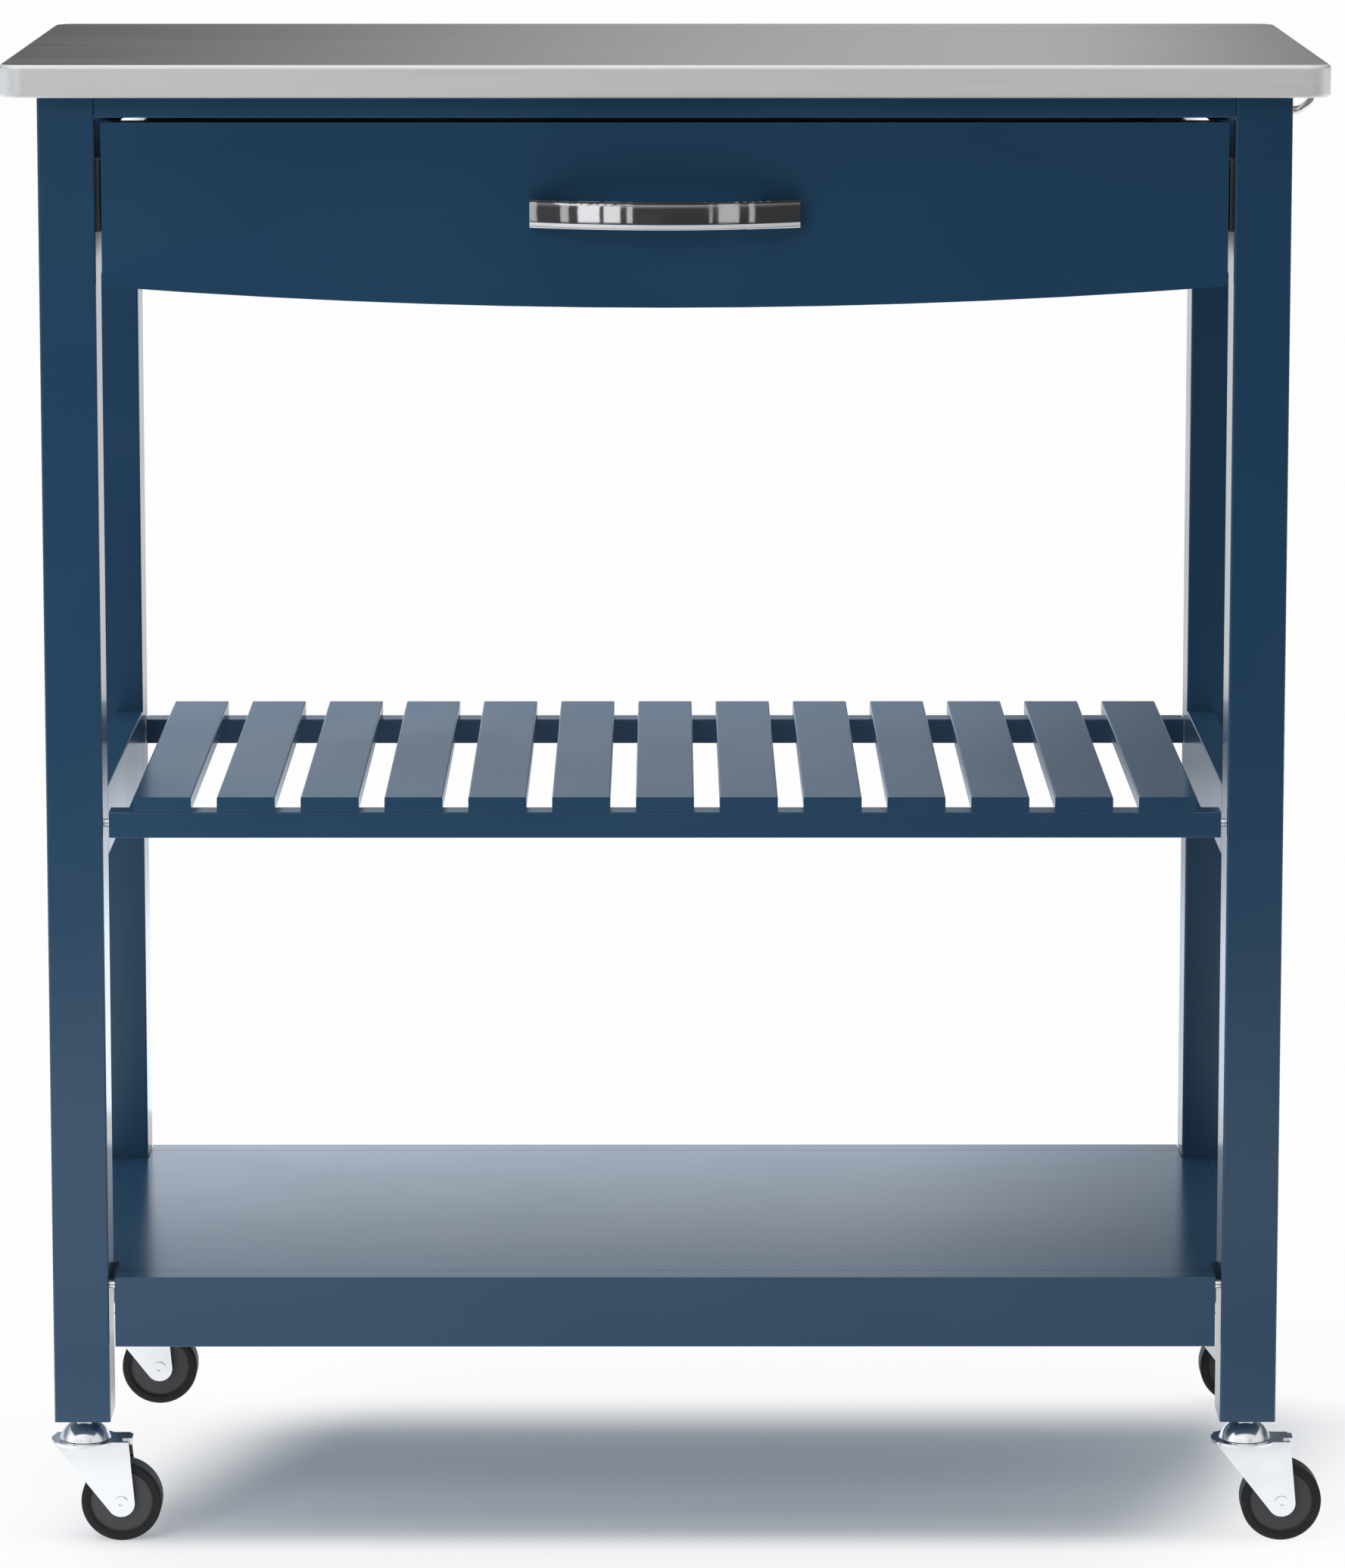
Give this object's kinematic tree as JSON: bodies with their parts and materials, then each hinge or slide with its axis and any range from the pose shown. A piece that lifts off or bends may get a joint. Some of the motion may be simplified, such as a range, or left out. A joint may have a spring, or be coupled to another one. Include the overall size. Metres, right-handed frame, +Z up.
{
  "type": "kitchen island cart",
  "caption": "Wheeled kitchen island cart with a steel-wrapped worktop, a drawer on ball-bearing slides, a slatted shelf, a solid shelf and a towel bar.",
  "frame": {"origin": "on the floor, under the middle of the worktop", "axes": "+Z up, -Y to the front where the drawer opens, +X to the right as seen from the front, the towel bar's side"},
  "size_m": [0.8083, 0.41, 0.92],
  "materials": {
    "steel_sheet": "brushed",
    "core_board": "raw particle board",
    "navy_paint": "satin navy paint on wood",
    "white_board": "satin white coating on wood",
    "chrome": "polished",
    "zinc": "bright zinc plate",
    "wheel_rubber": "satin",
    "dowel_wood": "raw beech"
  },
  "bodies": {
    "cart": {"top_sheet": "steel_sheet", "top_core": "core_board", "top_rail_front": "navy_paint", "apron_rear": "navy_paint", "bottom_panel": "navy_paint", "leg_front_left": "navy_paint", "leg_front_right": "navy_paint", "leg_rear_left": "navy_paint", "leg_rear_right": "navy_paint", "apron_left": "navy_paint", "apron_right": "navy_paint", "slat_side_rail_left": "navy_paint", "slat_side_rail_right": "navy_paint", "shelf_side_rail_left": "navy_paint", "shelf_side_rail_right": "navy_paint", "slat_rail_front": "navy_paint", "slat_rail_rear": "navy_paint", "shelf_rail_front": "navy_paint", "shelf_rail_rear": "navy_paint", "slat_01": "navy_paint", "slat_02": "navy_paint", "slat_03": "navy_paint", "slat_04": "navy_paint", "slat_05": "navy_paint", "slat_06": "navy_paint", "slat_07": "navy_paint", "slat_08": "navy_paint", "slat_09": "navy_paint", "slat_10": "navy_paint", "slat_11": "navy_paint", "slat_12": "navy_paint", "slat_13": "navy_paint", "slide_outer_left": "zinc", "slide_outer_right": "zinc", "towel_bar": "chrome", "caster_stems": "zinc", "connector_bolts": "zinc", "slat_screws": "zinc", "frame_dowels": "dowel_wood"},
    "drawer": {"drawer_front": "navy_paint", "drawer_side_left": "white_board", "drawer_side_right": "white_board", "drawer_back": "white_board", "drawer_bottom": "white_board", "drawer_pull": "chrome", "pull_screws": "zinc", "drawer_dowels": "dowel_wood", "slide_inner_left": "zinc", "slide_inner_right": "zinc"},
    "slide_left": {"slide_middle_left": "zinc"},
    "slide_right": {"slide_middle_right": "zinc"},
    "fork_front_left": {"caster_fork_front_left": "zinc"},
    "fork_front_right": {"caster_fork_front_right": "zinc"},
    "fork_rear_left": {"caster_fork_rear_left": "zinc"},
    "fork_rear_right": {"caster_fork_rear_right": "zinc"},
    "wheel_front_left": {"caster_wheel_front_left": "wheel_rubber"},
    "wheel_front_right": {"caster_wheel_front_right": "wheel_rubber"},
    "wheel_rear_left": {"caster_wheel_rear_left": "wheel_rubber"},
    "wheel_rear_right": {"caster_wheel_rear_right": "wheel_rubber"}
  },
  "joints": [
    {"name": "drawer_slide", "type": "slide", "parent": "cart", "child": "drawer", "axis": [0, -1, 0], "range_m": [0, 0.27]},
    {"name": "slide_left_travel", "type": "slide", "parent": "cart", "child": "slide_left", "axis": [0, -1, 0], "range_m": [0, 0.135]},
    {"name": "slide_right_travel", "type": "slide", "parent": "cart", "child": "slide_right", "axis": [0, -1, 0], "range_m": [0, 0.135]},
    {"name": "swivel_front_left", "type": "hinge", "parent": "cart", "child": "fork_front_left", "pos_m": [-0.36075, -0.163, 0.064], "axis": [0, 0, 1], "continuous": true},
    {"name": "roll_front_left", "type": "hinge", "parent": "fork_front_left", "child": "wheel_front_left", "pos_m": [-0.33825, -0.163, 0.025], "axis": [0, 1, 0], "continuous": true},
    {"name": "swivel_front_right", "type": "hinge", "parent": "cart", "child": "fork_front_right", "pos_m": [0.36075, -0.163, 0.064], "axis": [0, 0, 1], "continuous": true},
    {"name": "roll_front_right", "type": "hinge", "parent": "fork_front_right", "child": "wheel_front_right", "pos_m": [0.38325, -0.163, 0.025], "axis": [0, 1, 0], "continuous": true},
    {"name": "swivel_rear_left", "type": "hinge", "parent": "cart", "child": "fork_rear_left", "pos_m": [-0.36075, 0.163, 0.064], "axis": [0, 0, 1], "continuous": true},
    {"name": "roll_rear_left", "type": "hinge", "parent": "fork_rear_left", "child": "wheel_rear_left", "pos_m": [-0.33825, 0.163, 0.025], "axis": [0, 1, 0], "continuous": true},
    {"name": "swivel_rear_right", "type": "hinge", "parent": "cart", "child": "fork_rear_right", "pos_m": [0.36075, 0.163, 0.064], "axis": [0, 0, 1], "continuous": true},
    {"name": "roll_rear_right", "type": "hinge", "parent": "fork_rear_right", "child": "wheel_rear_right", "pos_m": [0.38325, 0.163, 0.025], "axis": [0, 1, 0], "continuous": true}
  ],
  "couplings": [
    {"joint": "slide_left_travel", "follows": "drawer_slide", "ratio": 0.5},
    {"joint": "slide_right_travel", "follows": "drawer_slide", "ratio": 0.5}
  ]
}
